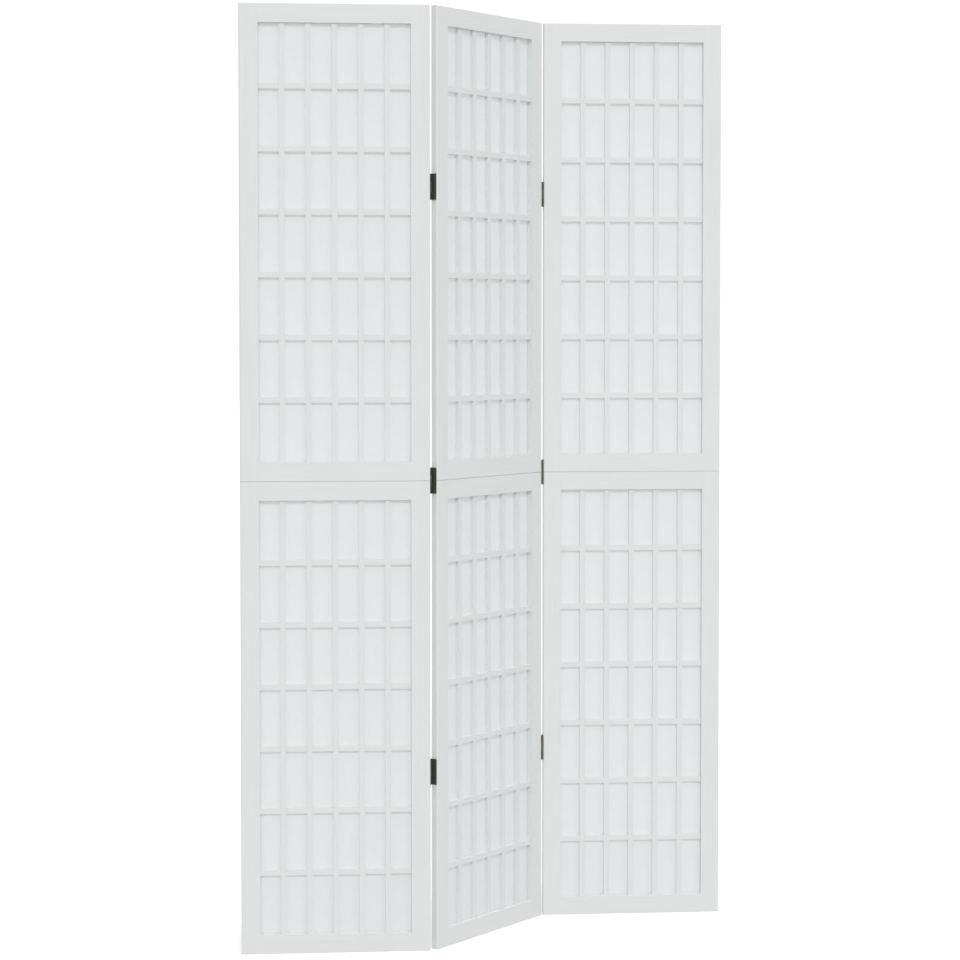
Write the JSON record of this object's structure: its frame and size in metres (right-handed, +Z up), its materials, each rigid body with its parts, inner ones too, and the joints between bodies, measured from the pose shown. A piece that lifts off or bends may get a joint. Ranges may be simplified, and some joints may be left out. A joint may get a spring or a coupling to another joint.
{
  "type": "folding room divider",
  "caption": "Free-standing folding room divider: white lattice frames with translucent sheets behind, hinged edge to edge to stand in a zigzag.",
  "frame": {"origin": "on the floor under the centre of the middle panel, at the centre of the bounding box's base", "axes": "+Z up; +X along the two outer panels, to the viewer's right; the lattice side faces -Y"},
  "size_m": [1.0758, 0.3312, 2],
  "materials": {
    "painted_wood": "satin white paint",
    "screen_sheet": "translucent white",
    "hinge_steel": "satin dark bronze",
    "bare_wood": "bare"
  },
  "bodies": {
    "middle_panel": {"middle_lower_left_stile": "painted_wood", "middle_lower_right_stile": "painted_wood", "middle_lower_top_rail": "painted_wood", "middle_lower_bottom_rail": "painted_wood", "middle_lower_uprights": "painted_wood", "middle_lower_crossbars": "painted_wood", "middle_lower_sheet": "screen_sheet", "middle_upper_left_stile": "painted_wood", "middle_upper_right_stile": "painted_wood", "middle_upper_top_rail": "painted_wood", "middle_upper_bottom_rail": "painted_wood", "middle_upper_uprights": "painted_wood", "middle_upper_crossbars": "painted_wood", "middle_upper_sheet": "screen_sheet", "middle_seam_tenons": "bare_wood", "left_lower_hinge_inner_leaf": "hinge_steel", "left_centre_hinge_inner_leaf": "hinge_steel", "left_upper_hinge_inner_leaf": "hinge_steel", "right_lower_hinge_inner_leaf": "hinge_steel", "right_centre_hinge_inner_leaf": "hinge_steel", "right_upper_hinge_inner_leaf": "hinge_steel"},
    "left_panel": {"left_lower_left_stile": "painted_wood", "left_lower_right_stile": "painted_wood", "left_lower_top_rail": "painted_wood", "left_lower_bottom_rail": "painted_wood", "left_lower_uprights": "painted_wood", "left_lower_crossbars": "painted_wood", "left_lower_sheet": "screen_sheet", "left_upper_left_stile": "painted_wood", "left_upper_right_stile": "painted_wood", "left_upper_top_rail": "painted_wood", "left_upper_bottom_rail": "painted_wood", "left_upper_uprights": "painted_wood", "left_upper_crossbars": "painted_wood", "left_upper_sheet": "screen_sheet", "left_seam_tenons": "bare_wood", "left_lower_hinge_outer_leaf": "hinge_steel", "left_centre_hinge_outer_leaf": "hinge_steel", "left_upper_hinge_outer_leaf": "hinge_steel"},
    "right_panel": {"right_lower_left_stile": "painted_wood", "right_lower_right_stile": "painted_wood", "right_lower_top_rail": "painted_wood", "right_lower_bottom_rail": "painted_wood", "right_lower_uprights": "painted_wood", "right_lower_crossbars": "painted_wood", "right_lower_sheet": "screen_sheet", "right_upper_left_stile": "painted_wood", "right_upper_right_stile": "painted_wood", "right_upper_top_rail": "painted_wood", "right_upper_bottom_rail": "painted_wood", "right_upper_uprights": "painted_wood", "right_upper_crossbars": "painted_wood", "right_upper_sheet": "screen_sheet", "right_seam_tenons": "bare_wood", "right_lower_hinge_outer_leaf": "hinge_steel", "right_centre_hinge_outer_leaf": "hinge_steel", "right_upper_hinge_outer_leaf": "hinge_steel"}
  },
  "joints": [
    {"name": "left_fold", "type": "hinge", "parent": "middle_panel", "child": "left_panel", "pos_m": [-0.13642, -0.14857, 1], "axis": [0, 0, -1], "range_deg": [-50, 130]},
    {"name": "right_fold", "type": "hinge", "parent": "middle_panel", "child": "right_panel", "pos_m": [0.13642, 0.14857, 1], "axis": [0, 0, -1], "range_deg": [-50, 130]}
  ]
}
